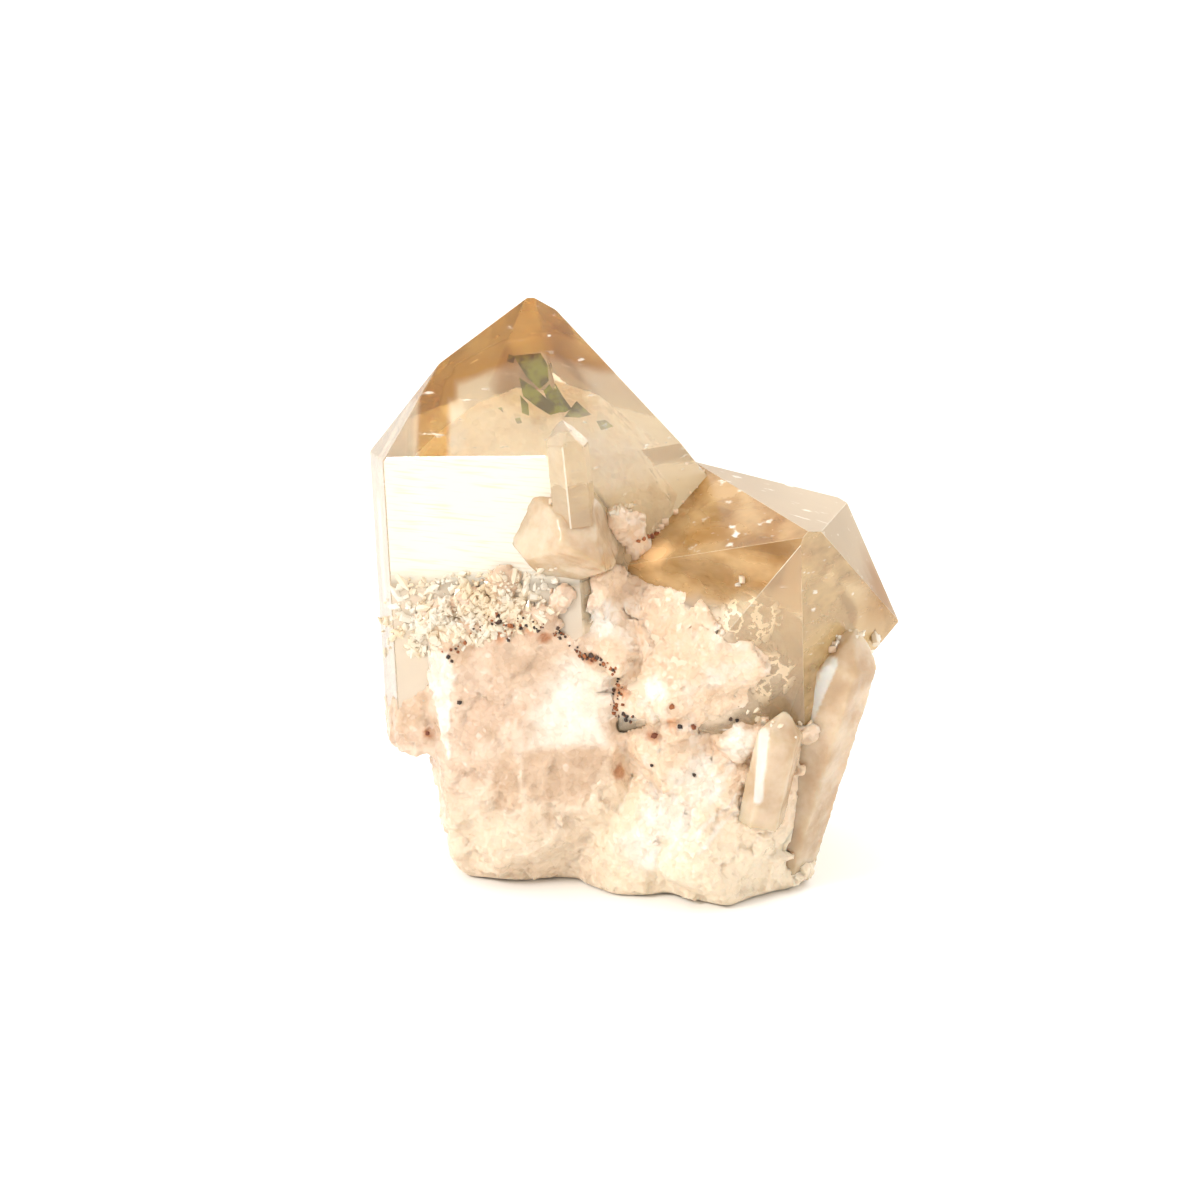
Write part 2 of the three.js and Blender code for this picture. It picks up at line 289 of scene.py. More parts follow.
below_brow = add(tree, "ShaderNodeMath", {0: 1.0, 1: brow}, operation="SUBTRACT")
corner = near_spot(tree, place, (24.6, -1, 28.6), (4.6, 7, 5.2), 0.1, 1.2)
heart = near_spot(tree, place, (4.2, -6.6, 24.2), (11.4, 10, 8.4), 0.7, 1.2)
heart = add(tree, "ShaderNodeMath", {0: heart, 1: below_brow}, operation="MULTIPLY")
stain = near_spot(tree, place, (1.8, -6.2, 34.2), (3.4, 3.8, 2.6), 0.1, 1.2)
window = near_spot(tree, place, (-8.7, -1, 49.7), (5.5, 5, 4.6), 0.7, 1.1)
crust = add(tree, "ShaderNodeTexNoise", {"Vector": place, "Scale": 1 / (1.923 * MM), "Detail": 4})
crust = add(tree, "ShaderNodeMath", {0: crust, 1: 0.5}, operation="SUBTRACT")
crust = add(tree, "ShaderNodeMath", {0: crust}, operation="ABSOLUTE")
etched = add(tree, "ShaderNodeMath", {
    0: near_spot(tree, place, (11.2, -13.8, 29.6), (3.8, 3, 4.6), 0.5, 1.1),
    1: near_spot(tree, place, (13.2, -12.8, 23.4), (3, 3, 4.2), 0.5, 1.1)}, operation="MAXIMUM")
etched = add(tree, "ShaderNodeMath", {0: etched, 1: zone(tree, (crust, 0.07, 0.03))}, operation="MULTIPLY")

tint = two_toned(tree, patchy, 0.5, 0.75, "#ffecca", "#fff7e8")
cloudy_gold = two_toned(tree, mottled, 0.36, 0.66, "#a5773a", "#c9a26c")
for share, shade in (
    (zone(tree, (right_left, -21.2 * MM, -21.9 * MM)), colour("#ead9be")),
    (gold, two_toned(tree, patchy, 0.4, 0.7, "#e39f38", "#f0bb62")),
    (tip_face[0], colour("#bca583")),
    (tip_face[1], colour("#cab494")),
    (tip_face[4], colour("#dcc29c")),
    (tip_face[5], colour("#c9aa78")),
    (tip_face[2], cloudy_gold),
    (veils, colour("#fff8ea")),
    (corner, colour("#966524")),
    (painted_lower_reflection, colour("#ecdcc6")),
    (painted_front_reflection, two_toned(tree, lines, 0.5, 0.72, "#f2edde", "#e6d9c2")),
    (brow, cloudy_gold),
    (heart, colour("#eed8bd")),
    (stain, colour("#ffcf92")),
):
    tint = add(tree, "ShaderNodeMix", {0: share, 6: tint, 7: shade}, data_type="RGBA")

# How much each zone clouds the glass: its share times the first number, plus the second.
silky = add(tree, "ShaderNodeMath", {0: tip_face[0], 1: tip_face[1]}, operation="MAXIMUM")
veiled = add(tree, "ShaderNodeMath", {0: tip_face[2], 1: tip_face[5]}, operation="MAXIMUM")
veiled = add(tree, "ShaderNodeMath", {0: veiled, 1: brow}, operation="MAXIMUM")
thickness = add(tree, "ShaderNodeMath", {0: billows, 1: 0.4, 2: 0.35}, operation="MULTIPLY_ADD")
clouding = add(tree, "ShaderNodeMath", {0: veiled, 1: thickness}, operation="MULTIPLY")
for share, strength, least in (
    (silky, 0.5, 0.0), (heart, 0.9, 0.0), (stain, 0.85, 0.0), (painted_lower_reflection, 0.6, 0.0), (etched, 0.8, 0.0),
    (painted_front_reflection, 0.8, 0.0), (zone(tree, (patchy, 0.42, 0.7)), 0.16, 0.02), (gold, -0.2, 0.26), (veils, 0.55, 0.0),
):
    cloud = add(tree, "ShaderNodeMath", {0: share, 1: strength, 2: least}, operation="MULTIPLY_ADD")
    clouding = add(tree, "ShaderNodeMath", {0: clouding, 1: cloud}, operation="MAXIMUM")
kept_clear = add(tree, "ShaderNodeMath", {0: window, 1: -0.85, 2: 1.0}, operation="MULTIPLY_ADD")
clouding = add(tree, "ShaderNodeMath", {0: clouding, 1: kept_clear}, operation="MULTIPLY")
clearness = add(tree, "ShaderNodeMath", {0: 1.0, 1: clouding}, operation="SUBTRACT")
silk = add(tree, "ShaderNodeMath", {0: silky, 1: 0.5}, operation="MULTIPLY")
dullness = add(tree, "ShaderNodeMath", {0: clouding, 1: 0.35, 2: 0.02}, operation="MULTIPLY_ADD")
dullness = add(tree, "ShaderNodeMath", {0: silk, 1: dullness}, operation="MAXIMUM")

growth = add(tree, "ShaderNodeTexNoise", {"Vector": place, "Scale": 1 / (6.25 * MM), "Detail": 2})
relief = add(tree, "ShaderNodeMath", {0: lines, 1: 0.12, 2: growth}, operation="MULTIPLY_ADD")
wavy = add(tree, "ShaderNodeBump", {"Height": relief, "Strength": 0.5, "Distance": 0.2 * MM})
glass = add(tree, "ShaderNodeBsdfPrincipled", {
    "Base Color": tint, "Transmission Weight": clearness, "Roughness": dullness, "IOR": QUARTZ_IOR,
    "Normal": wavy})
soak = add(tree, "ShaderNodeVolumeAbsorption", {"Color": colour("#f7d481"), "Density": 5})
add(tree, "ShaderNodeOutputMaterial", {"Surface": glass, "Volume": soak})
clear.data.materials.clear()
clear.data.materials.append(quartz)
finished(clear)

# The camera stands 18 degrees above level in front. What lies on the crystals is set down where it is
# seen from there: a straight line of sight finds the stone that carries it.
camera_data = bpy.data.cameras.new("camera")
camera_data.lens = 120
camera_data.sensor_width = 36
camera = bpy.data.objects.new("camera", camera_data)
bpy.context.scene.collection.objects.link(camera)
bpy.context.scene.camera = camera
PICTURE = 1200  # places in the picture are given in pixels of a square of this size
look_at = Vector((-3.2, 0, 27.2)) * MM
rise = math.radians(18)
camera.location = look_at + 0.4 * Vector((0, -math.cos(rise), math.sin(rise)))
camera.rotation_euler = (math.pi / 2 - rise, 0, 0)


def tree_of(pieces):
    """The faces of several pieces together, to find what a line meets first."""
    bm = bmesh.new()
    for piece in pieces:
        bm.from_mesh(piece.data)
    bmesh.ops.triangulate(bm, faces=bm.faces[:])
    found = BVHTree.FromBMesh(bm)
    bm.free()
    return found


reach = camera_data.lens / camera_data.sensor_width * PICTURE
up = Vector((0, math.sin(rise), math.cos(rise)))
ahead = (look_at - camera.location).normalized()


def seen_at(stone, across, down):
    """The point of the stone at a place in the picture, and the way its surface faces there."""
    line = ahead * reach + Vector((1, 0, 0)) * (across - PICTURE / 2) + up * (PICTURE / 2 - down)
    point, normal, _, _ = stone.ray_cast(camera.location, line.normalized())
    return point, normal


# The cloudy crystals: the blocky one nestled between the two stout crystals, the slender pillar at the
# right and the splinter beside it. Their quartz is full of tiny bubbles, so it is only half clear.
CRYSTALS.update({
    "nestled": dict(tip=(-1.5, -14.6, 33.6), lean=(0.5, -0.75, -0.25), turn=30,
                    sides=(4.4, 4.4, 4.2, 4.6, 4.1, 4.2), drops=(2.4, 1.4, 0.2, 2.6, 2.2, 0.8), length=12),
    "pillar": dict(tip=(22.2, -8, 27.6), lean=(0.27, -0.04, 1), turn=20,
                   sides=(2.7, 3, 3.2, 4.1, 3.2, 2.7), drops=(0.2, 0.6, 0, 0.5, 0.3, 0.8), length=29),
    "splinter": dict(tip=(15, -13.4, 20.6), lean=(0.2, -0.05, 1), turn=-20,
                     sides=(2, 2.2, 2.1, 2, 2.3, 2), drops=(0, 0.3, 0, 0.2, 0, 0.4), length=12.5),
})
CLEAR_FLOORS.update({
    "nestled": ((0, 0, 26), 0, 0, 0.6),
    "pillar": ((0, 0, 2.5), 0, 0, 0.6),
    "splinter": ((0, 0, 4), 0, 0, 0.6),
})
# The painted highlights on the left facets, as lines in the picture: first and last place, and half the width
# at each.
HIGHLIGHT_STRIPS = {"pillar": ((831, 663), (800, 742), 8, 4), "splinter": ((764, 733), (758, 800), 6, 5)}


def remeshed(piece, size, smoothing):
    """The same shape in small even faces, its edges worn round."""
    step = piece.modifiers.new("step", "REMESH")
    step.mode = "VOXEL"
    step.voxel_size = size
    step.use_smooth_shade = True
    worn = piece.modifiers.new("worn", "SMOOTH")
    worn.factor = 0.5
    worn.iterations = smoothing
    settle(piece)


def in_picture(point):
    """The place in the picture where a point is seen."""
    away = point - camera.location
    nearness = reach / away.dot(ahead)
    return PICTURE / 2 + away.x * nearness, PICTURE / 2 - away.dot(up) * nearness


def near_line(place, first, last, half_width, end_width):
    """1 on a line drawn in the picture, 0 beyond its width, which changes from end to end."""
    start, run = Vector(first), Vector(last) - Vector(first)
    share = min(1, max(0, (Vector(place) - start).dot(run) / run.length_squared))
    width = half_width + (end_width - half_width) * share
    return min(1, max(0, 4 * (1 - (Vector(place) - start - run * share).length / width)))


cloudy = []
for name, smoothing, bumps in (("nestled", 4, 0.16), ("pillar", 2, 0.14), ("splinter", 1, 0.08)):
    piece = clear_part(name, 0, deeper=0.8)
    remeshed(piece, 0.25 * MM, smoothing)
    for v in piece.data.vertices:
        bump = noise.noise(v.co / (1.7 * MM)) + 0.35 * noise.noise(v.co / (0.5 * MM))
        v.co += v.normal * bump * bumps * MM
    shares = [0.0] * len(piece.data.vertices)
    # Each left facet that faces the camera gets a painted highlight along its line in the picture.
    if name in HIGHLIGHT_STRIPS:
        shares = [near_line(in_picture(v.co), *HIGHLIGHT_STRIPS[name]) * (v.normal.y < 0) for v in piece.data.vertices]
    piece.data.attributes.new("painted_highlight", "FLOAT", "POINT").data.foreach_set("value", shares)
    cloudy.append(piece)

# Bubbly quartz: warm, waxy bright, lit from within, with tiny pits where bubbles meet its surface, and a
# painted highlight in near white along the left facets.
bubbly, tree, place = new_material("cloudy_quartz")
cloud = add(tree, "ShaderNodeTexNoise", {"Vector": place, "Scale": 1 / (3.85 * MM), "Detail": 4})
painted_highlight = add(tree, "ShaderNodeAttribute", attribute_name="painted_highlight").outputs["Fac"]
warm = two_toned(tree, cloud, 0.35, 0.65, "#dcbd97", "#edd8bc")
shade = add(tree, "ShaderNodeMix", {0: painted_highlight, 6: warm, 7: colour("#fff8ec")}, data_type="RGBA")
pits = add(tree, "ShaderNodeTexNoise", {"Vector": place, "Scale": 1 / (1.11 * MM), "Detail": 3})
waxy = add(tree, "ShaderNodeBsdfPrincipled", {
    "Base Color": shade, "Roughness": 0.16, "IOR": QUARTZ_IOR,
    "Transmission Weight": add(tree, "ShaderNodeMapRange", {"Value": cloud, "To Min": 0.5, "To Max": 0.15}),
    "Subsurface Weight": 0.8, "Subsurface Radius": (1.0, 0.75, 0.55), "Subsurface Scale": 2 * MM,
    "Normal": add(tree, "ShaderNodeBump", {"Height": pits, "Strength": 0.7, "Distance": 0.2 * MM})})
add(tree, "ShaderNodeOutputMaterial", {"Surface": waxy})
for piece in cloudy:
    piece.data.materials.clear()
    piece.data.materials.append(bubbly)
    finished(piece)

# The milky quartz: the mass that everything grew from, white from countless tiny bubbles, broken off
# its rock in shell-shaped and hackly breaks. It also clouds the cores of the two stout crystals.
def lump(centre, half, bump):
    bm = bmesh.new()
    bmesh.ops.create_icosphere(bm, subdivisions=5, radius=1)
    for v in bm.verts:
        swell = 1 + bump * noise.noise(v.co * 2.2 + Vector(centre))
        v.co = Vector(centre) * MM + Vector(a * b * swell * MM for a, b in zip(v.co, half))
    return new_piece("lump", bm)


def inner_core(crystal, depths, drops, lowered, flat_top):
    """The cloudy core of a crystal: the crystal as it was when it was smaller, with a flat top."""
    top = Vector(crystal["tip"]) - growth_axes(crystal["lean"]).col[2] * lowered
    core = dict(crystal, tip=tuple(top), drops=drops, length=crystal["length"] - lowered,
                sides=[side - depth for side, depth in zip(crystal["sides"], depths)])
    point, normal = flat_top
    return cut_crystal(core, 0, more=[(Vector(point) * MM, Vector(normal).normalized())])


noise.seed_set(11)  # the vector noise below follows the clock without it
GROWN = 0.1 * MM  # the gap left round the clear quartz, so that two faces never share a place
HEART = ((4.2, -6.6, 24.2), (10.6, 9.4, 7.6), 0.16)
milk_bm = bmesh.new()
milk_bm.from_mesh(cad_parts["citrine_cluster"].data)
bmesh.ops.remove_doubles(milk_bm, verts=milk_bm.verts, dist=2e-6)
milk = new_piece("milky_quartz", milk_bm)
remeshed(milk, 0.35 * MM, 10)

upright_zone = clear_part("upright", 0, GROWN)
upright_core = inner_core(CRYSTALS["upright"], (1.6, 1.2, 1.4, 2, 3, 5), (0, 0.2, -0.6, 1, 0, -6.3), 8,
                          ((-7.5, 0, 44.5), (0.1, -0.05, 1)))
fuse_or_cut(upright_zone, upright_core, "DIFFERENCE")
leaning_zone = clear_part("leaning", 0, GROWN)
for cloudy_lump in (HEART, ((6, 4, 18), (13, 10, 13), 0.16)):
    fuse_or_cut(leaning_zone, lump(*cloudy_lump), "DIFFERENCE")
fuse_or_cut(milk, upright_zone, "DIFFERENCE")
fuse_or_cut(milk, leaning_zone, "DIFFERENCE")
crusted_side = cut_crystal(CRYSTALS["leaning"], 0, 0.9 * MM)
fuse_or_cut(crusted_side, lump((15.5, -14, 27.5), (6.5, 6, 9.5), 0), "INTERSECT")
fuse_or_cut(crusted_side, lump(*HEART), "DIFFERENCE")
fuse_or_cut(milk, crusted_side, "DIFFERENCE")
fuse_or_cut(milk, lump((11, -9.2, 16.4), (4.2, 3.4, 2.8), 0.2), "UNION")
for name in ("perched", "nestled", "shoulder", "rear", "pillar", "splinter"):
    fuse_or_cut(milk, clear_part(name, 0, GROWN), "DIFFERENCE")
remeshed(milk, 0.36 * MM, 0)

SKIN = 0.12 * MM
HACKLES = ((3.4 * MM, 0.2), (1.3 * MM, 0.17))  # the size of the small flats of a break, and their slope
CRUST = 0.15 * MM  # how proud the milk stands of the leaning crystal's faces


def outside(crystal, point):
    """How far a point lies outside a crystal; negative inside it."""
    return max((point - on_it).dot(normal) for on_it, normal in crystal)


def broken(point, size, slope):
    """The height of a hackly break: every patch of it is a small flat that tilts its own way."""
    centre = noise.voronoi(point / size)[1][0]
    tilt = noise.noise_vector(centre * 7.3).normalized()
    return (point / size - centre).dot(tilt) * size * slope


# Where the milky quartz is smoky and smooth, where it is whitest, and where rust has stained it: the place
# in the picture and the size in millimetres of each patch.
PATCHES = {
    "smoky": [((400, 700), 4.5), ((420, 790), 2.4), ((450, 640), 3.5), ((500, 605), 3.5), ((650, 728), 1.6)],
    "white": [((700, 780), 3.0), ((670, 820), 3.4), ((640, 850), 2.8), ((740, 740), 2.2), ((735, 610), 2.6),
              ((655, 690), 1.6), ((600, 620), 2.4), ((755, 625), 2.0)],
    "rusty": [((500, 636), 0.9), ((545, 637), 0.8), ((590, 660), 0.8), ((620, 692), 1.1), ((634, 722), 0.9),
              ((428, 733), 0.7), ((655, 735), 1.0), ((672, 727), 0.8), ((620, 770), 1.0), ((530, 628), 0.8)],
}
# The breaks of the left block, seen in the picture: colour patch, its share, depth in millimetres, outline.
BREAKS = [
    ("smoky", 0.9, 0.12, [(532, 716), (575, 706), (621, 728), (603, 762), (585, 806), (527, 800), (520, 762)]),
    ("smoky", 1.0, 0.10, [(509, 749), (519, 765), (521, 808), (497, 812), (490, 786), (497, 762)]),
    ("smoky", 0.8, 0.06, [(481, 725), (497, 730), (499, 742), (484, 742)]),
    ("smoky", 0.6, 0.04, [(494, 644), (532, 629), (555, 626), (572, 650), (598, 655), (607, 670), (572, 672),
                          (555, 687), (509, 690), (492, 672)]),
    ("smoky", 1.0, 0.14, [(572, 705), (610, 708), (648, 733), (624, 737), (601, 722)]),
    ("white", 0.5, -0.06, [(555, 687), (572, 673), (602, 668), (613, 690), (608, 706), (580, 700)]),
    ("white", 0.9, -0.10, [(415, 652), (445, 650), (454, 676), (449, 733), (451, 768), (441, 740), (435, 699),
                           (425, 676)]),
]
# Bright ribs at the lower right: first and last place in the picture, and half the width at each.
STREAKS = [((640, 850), (740, 760), 4, 3), ((662, 866), (738, 796), 3, 2), ((622, 842), (690, 772), 3, 2),
           ((700, 850), (745, 800), 3, 2)]
stout = [list(crystal_faces(**CRYSTALS[name])) for name in ("upright", "leaning")]
milk_tree = tree_of([milk])


def patch_shares(points, spots, fray):
    """How much each point belongs to the patches, 0 to 1, with a frayed outline."""
    found = [(seen_at(milk_tree, *spot)[0], size * MM) for spot, size in spots]
    shares = []
    for point in points:
        ragged = fray * (noise.noise(point / (1.6 * MM)) + 0.6 * noise.noise(point / (0.6 * MM)))
        near = max(1 - (point - spot).length / size + ragged for spot, size in found if spot is not None)
        shares.append(min(1, max(0, near * 2)))
    return shares


def inside(place, outline):
    """Whether a place in the picture lies in an outline drawn there."""
    x, y = place
    odd = False
    for (ax, ay), (bx, by) in zip(outline, outline[1:] + outline[:1]):
        if (ay > y) != (by > y) and x < ax + (y - ay) / (by - ay) * (bx - ax):
            odd = not odd
    return odd


milk_bm = bmesh.new()
milk_bm.from_mesh(milk.data)
milk_bm.normal_update()
places = [v.co.copy() for v in milk_bm.verts]
shares = {name: patch_shares(places, spots, 0.35) for name, spots in PATCHES.items()}
sunk = [0.0] * len(places)
FRONT_PART = -3 * MM
for index, v in enumerate(milk_bm.verts):
    if v.co.y > FRONT_PART or v.normal.y > 0:
        continue
    frayed = Vector(in_picture(v.co)) + noise.noise_vector(v.co / (1.5 * MM)).xy * 3
    for patch, share, depth, outline in BREAKS:
        if inside(frayed, outline):
            shares[patch][index] = max(share, shares[patch][index])
            sunk[index] = depth * MM
    for streak in STREAKS:
        shares["white"][index] = max(shares["white"][index], 0.8 * near_line(frayed, *streak))

SHELL = ((-4, 40), (-40, -9), (18, 36))  # the range where the milk is a thin shell, along x, y and z
UNDERSIDE = 0.6 * MM
for v, smooth, deep in zip(milk_bm.verts, shares["smoky"], sunk):
    proud = outside(stout[1], v.co)
    in_shell = all(low * MM < at < high * MM for at, (low, high) in zip(v.co, SHELL))
    if in_shell and CRUST < proud < 1.8 * MM:
        _, face = max(stout[1], key=lambda side: (v.co - side[0]).dot(side[1]))
        v.co -= face * (proud - CRUST) * 0.85
    buried = min(outside(crystal, v.co) for crystal in stout)
    share = min(1, max(0, 1 + (buried + 0.1 * MM) / (0.5 * MM)))
    rough = sum(broken(v.co, size, slope) for size, slope in HACKLES)
    rough += noise.noise(v.co / (0.8 * MM)) * 0.04 * MM
    if v.co.z > UNDERSIDE:
        v.co += v.normal * share * (SKIN + rough * (1 - 0.6 * smooth) - deep)
milk_bm.to_mesh(milk.data)
milk_bm.free()
cores = [max(0, min(1, -min(outside(crystal, at) for crystal in stout) / MM)) for at in places]
shares["white"] = [max(pair) for pair in zip(shares["white"], cores)]
for name, values in shares.items():
    milk.data.attributes.new(name, "FLOAT", "POINT").data.foreach_set("value", values)

# Milky quartz scatters light just beneath its surface. The left block is pinkish, the foot is painted
# lighter and creamier as a painted glow of light thrown up from the white table, and each small flat of a
# break catches the light its own way.
milky, tree, place = new_material("milky_quartz_stone")
broad = add(tree, "ShaderNodeTexNoise", {"Vector": place, "Scale": 1 / (10.5 * MM), "Detail": 4})
medium = add(tree, "ShaderNodeTexNoise", {"Vector": place, "Scale": 1 / (2.38 * MM), "Detail": 6})
at = add(tree, "ShaderNodeSeparateXYZ", {0: place})
across = add(tree, "ShaderNodeMath", {0: broad, 1: 10 * MM, 2: at.outputs["X"]}, operation="MULTIPLY_ADD")
raised = add(tree, "ShaderNodeMath", {0: broad, 1: 16 * MM, 2: at.outputs["Z"]}, operation="MULTIPLY_ADD")
left_block = zone(tree, (across, 3 * MM, -1 * MM))
floor_glow_strength = add(tree, "ShaderNodeMath", {0: left_block, 1: -0.35, 2: 1.0}, operation="MULTIPLY_ADD")
# Painted light: the low part of the stone, less so on the left block, is painted lighter, as if lit from the
# table below.
foot = zone(tree, (raised, 23 * MM, 14 * MM))
foot = add(tree, "ShaderNodeMath", {0: foot, 1: floor_glow_strength}, operation="MULTIPLY")
floor_glow_shade = add(tree, "ShaderNodeMix", {0: broad, 6: colour("#e6d0b4"), 7: colour("#f3e5cd")}, data_type="RGBA")
layers = [
    (zone(tree, (medium, 0.5, 0.7)), colour("#ebdac8")),
    (left_block, two_toned(tree, medium, 0.35, 0.65, "#d8bba1", "#e5cdb6")),
    (foot, floor_glow_shade),
]
for name, first, second in (
    ("smoky", "#cdaf92", "#dabea2"), ("white", "#ebdccb", "#f3e9dc"), ("rusty", "#b97f58", "#d8a882"),
):
    share = add(tree, "ShaderNodeAttribute", attribute_name=name).outputs["Fac"]
    layers.append((share, two_toned(tree, medium, 0.4, 0.6, first, second)))
shade = two_toned(tree, broad, 0.38, 0.62, "#e2c5a8", "#edd4b8")
for share, over in layers:
    shade = add(tree, "ShaderNodeMix", {0: share, 6: shade, 7: over}, data_type="RGBA")
fine = add(tree, "ShaderNodeTexNoise", {"Vector": place, "Scale": 1 / (0.667 * MM), "Detail": 5})
relief = add(tree, "ShaderNodeMath", {0: fine, 1: 0.12}, operation="MULTIPLY")
for size, slope in ((1.7, 0.45), (0.6, 0.6)):
    cell = add(tree, "ShaderNodeTexVoronoi", {"Vector": place, "Scale": 1 / (size * MM)})
    own_way, middle = cell.outputs["Color"], cell.outputs["Position"]
    tilt = add(tree, "ShaderNodeVectorMath", {0: own_way, 1: (0.5, 0.5, 0.5)}, operation="SUBTRACT")
    from_centre = add(tree, "ShaderNodeVectorMath", {0: place, 1: middle}, operation="SUBTRACT")
    flat = add(tree, "ShaderNodeVectorMath", {0: from_centre, 1: tilt}, operation="DOT_PRODUCT")
    relief = add(tree, "ShaderNodeMath", {0: flat, 1: slope / MM, 2: relief}, operation="MULTIPLY_ADD")
stony = add(tree, "ShaderNodeBsdfPrincipled", {
    "Base Color": shade, "IOR": 1.5,
    "Roughness": add(tree, "ShaderNodeMapRange", {"Value": medium, "To Min": 0.15, "To Max": 0.45}),
    "Subsurface Weight": 0.8, "Subsurface Radius": (1.0, 0.8, 0.65), "Subsurface Scale": 0.25 * MM,
    "Normal": add(tree, "ShaderNodeBump", {"Height": relief, "Strength": 1.0, "Distance": 1.0 * MM})})
add(tree, "ShaderNodeOutputMaterial", {"Surface": stony})
milk.data.materials.clear()
milk.data.materials.append(milky)
finished(milk)

# The druse: a crust of tiny quartz crystals, each with six sides and a point, grown in every hollow
# between the big ones. They are clear to smoky yellow.
draw = random.Random(11)
# Each band: its first and last place in the picture, how far it spreads, and how many crystals it has.
DRUSE_BANDS = [
    ((400, 605), (545, 590), 24, 340), ((400, 638), (515, 616), 20, 280), ((610, 512), (630, 500), 6, 12),
    ((470, 636), (540, 622), 6, 40), ((832, 636), (872, 632), 7, 12), ((745, 705), (800, 730), 8, 10),
]
stone = tree_of([milk, clear] + cloudy)
druse_bm = bmesh.new()


def small_crystal(bm, foot, way, width, length):
    turned = way.to_track_quat("Z", "Y").to_matrix().to_4x4()
    spin = Matrix.Rotation(draw.uniform(0, 1), 4, "Z")
    shaft = length * draw.uniform(0.45, 0.7)
    at = Matrix.Translation(foot) @ turned @ spin @ Matrix.Translation((0, 0, shaft / 2))
    made = bmesh.ops.create_cone(bm, cap_ends=True, segments=6, radius1=width / 2, radius2=width / 2 * 0.92,
                                 depth=shaft, matrix=at)
    faces = {face for v in made["verts"] for face in v.link_faces if len(face.verts) == 6}
    end = max(faces, key=lambda face: face.calc_center_median().dot(way))
    bmesh.ops.poke(bm, faces=[end], offset=length - shaft)


for first, last, spread, count in DRUSE_BANDS:
    for _ in range(count):
        share = draw.random()
        across = first[0] + (last[0] - first[0]) * share + draw.uniform(-spread, spread)
        down = first[1] + (last[1] - first[1]) * share + draw.uniform(-spread, spread)
        foot, normal = seen_at(stone, across, down)
        if foot is None:
            continue
        way = normal + Vector((draw.uniform(-1, 1), draw.uniform(-1, 1), draw.uniform(-0.6, 1.4))) * 1.2
        way.normalize()
        width = 0.3 * MM + draw.random() ** 2 * 0.65 * MM
        length = width * draw.uniform(1.4, 2.4)
        small_crystal(druse_bm, foot - way * length * 0.55, way, width, length)
druse = new_piece("druse_crystals", druse_bm)

# Glassy quartz with a warm mist in it, bright on its tiny faces.
small, tree, place = new_material("smoky_clear_quartz")
mist = add(tree, "ShaderNodeTexNoise", {"Vector": place, "Scale": 1 / (3.33 * MM), "Detail": 3})
misty = add(tree, "ShaderNodeBsdfPrincipled", {
    "Base Color": two_toned(tree, mist, 0.35, 0.65, "#fbe7c6", "#fff7e8"),
    "Transmission Weight": 0.25, "Roughness": 0.1, "IOR": QUARTZ_IOR})
add(tree, "ShaderNodeOutputMaterial", {"Surface": misty})
druse.data.materials.append(small)
finished(druse)

# The grains: crusts of black manganese oxide and rusty iron oxide, which settled along the seam
# between the slab and the rest, and here and there on the milky quartz.
# Places in the picture: the line of the seam, and single grains.
SEAM = [(450, 655), (478, 632), (495, 618), (507, 628), (519, 622), (540, 627), (556, 632), (566, 641),
        (582, 655), (597, 660), (612, 670), (621, 684), (617, 700), (614, 713), (625, 716), (636, 722)]
SINGLE_DARK = [(731, 719), (737, 720), (680, 727), (460, 702), (652, 765), (694, 775), (448, 657), (452, 661),
               (591, 655), (597, 658), (624, 714), (626, 720), (614, 690), (498, 617), (508, 640)]
SINGLE_RUSTY = [(428, 733), (644, 538), (648, 537), (652, 536), (657, 534), (638, 541), (539, 509),
                (693, 728), (672, 706), (655, 735)]
stone = tree_of([milk, druse, clear])


def grain_at(bm, across, down, size):
    foot, normal = seen_at(stone, across, down)
    if foot is None:
        return
    made = bmesh.ops.create_icosphere(bm, subdivisions=1, radius=size / 2)
    shift = Vector((draw.random(), draw.random(), draw.random())) * 50
    for v in made["verts"]:
        v.co = foot + normal * size * 0.15 + v.co * (1 + 0.7 * noise.noise(v.co / size * 3 + shift))


dark_bm = bmesh.new()
rusty_bm = bmesh.new()
for (across, down), (next_across, next_down) in zip(SEAM, SEAM[1:]):
    for _ in range(9):
        share = draw.random()
        x = across + (next_across - across) * share + draw.gauss(0, 3)
        y = down + (next_down - down) * share + draw.gauss(0, 3)
        if draw.random() < 0.45:
            grain_at(dark_bm, x, y, draw.uniform(0.12, 0.42) * MM)
        else:
            grain_at(rusty_bm, x, y, draw.uniform(0.12, 0.48) * MM)
for x, y in SINGLE_DARK:
    grain_at(dark_bm, x, y, draw.uniform(0.35, 0.6) * MM)
for x, y in SINGLE_RUSTY:
    grain_at(rusty_bm, x, y, draw.uniform(0.35, 0.7) * MM)

# Manganese oxide is black and half dull, iron oxide red-brown and earthy.
for name, bm, dull, first, second in (
    ("dark_grains", dark_bm, 0.5, "#2a211c", "#4f3a2c"),
    ("rusty_grains", rusty_bm, 0.7, "#6e3a22", "#a8663c"),
):
    grains = new_piece(name, bm)
    oxide, tree, place = new_material(name.replace("grains", "oxide"))
    mix = add(tree, "ShaderNodeTexNoise", {"Vector": place, "Scale": 1 / (1.11 * MM), "Detail": 2})
    earthy = add(tree, "ShaderNodeBsdfPrincipled", {
        "Base Color": two_toned(tree, mix, 0.4, 0.6, first, second), "Roughness": dull})
    add(tree, "ShaderNodeOutputMaterial", {"Surface": earthy})
    grains.data.materials.append(oxide)
    finished(grains)

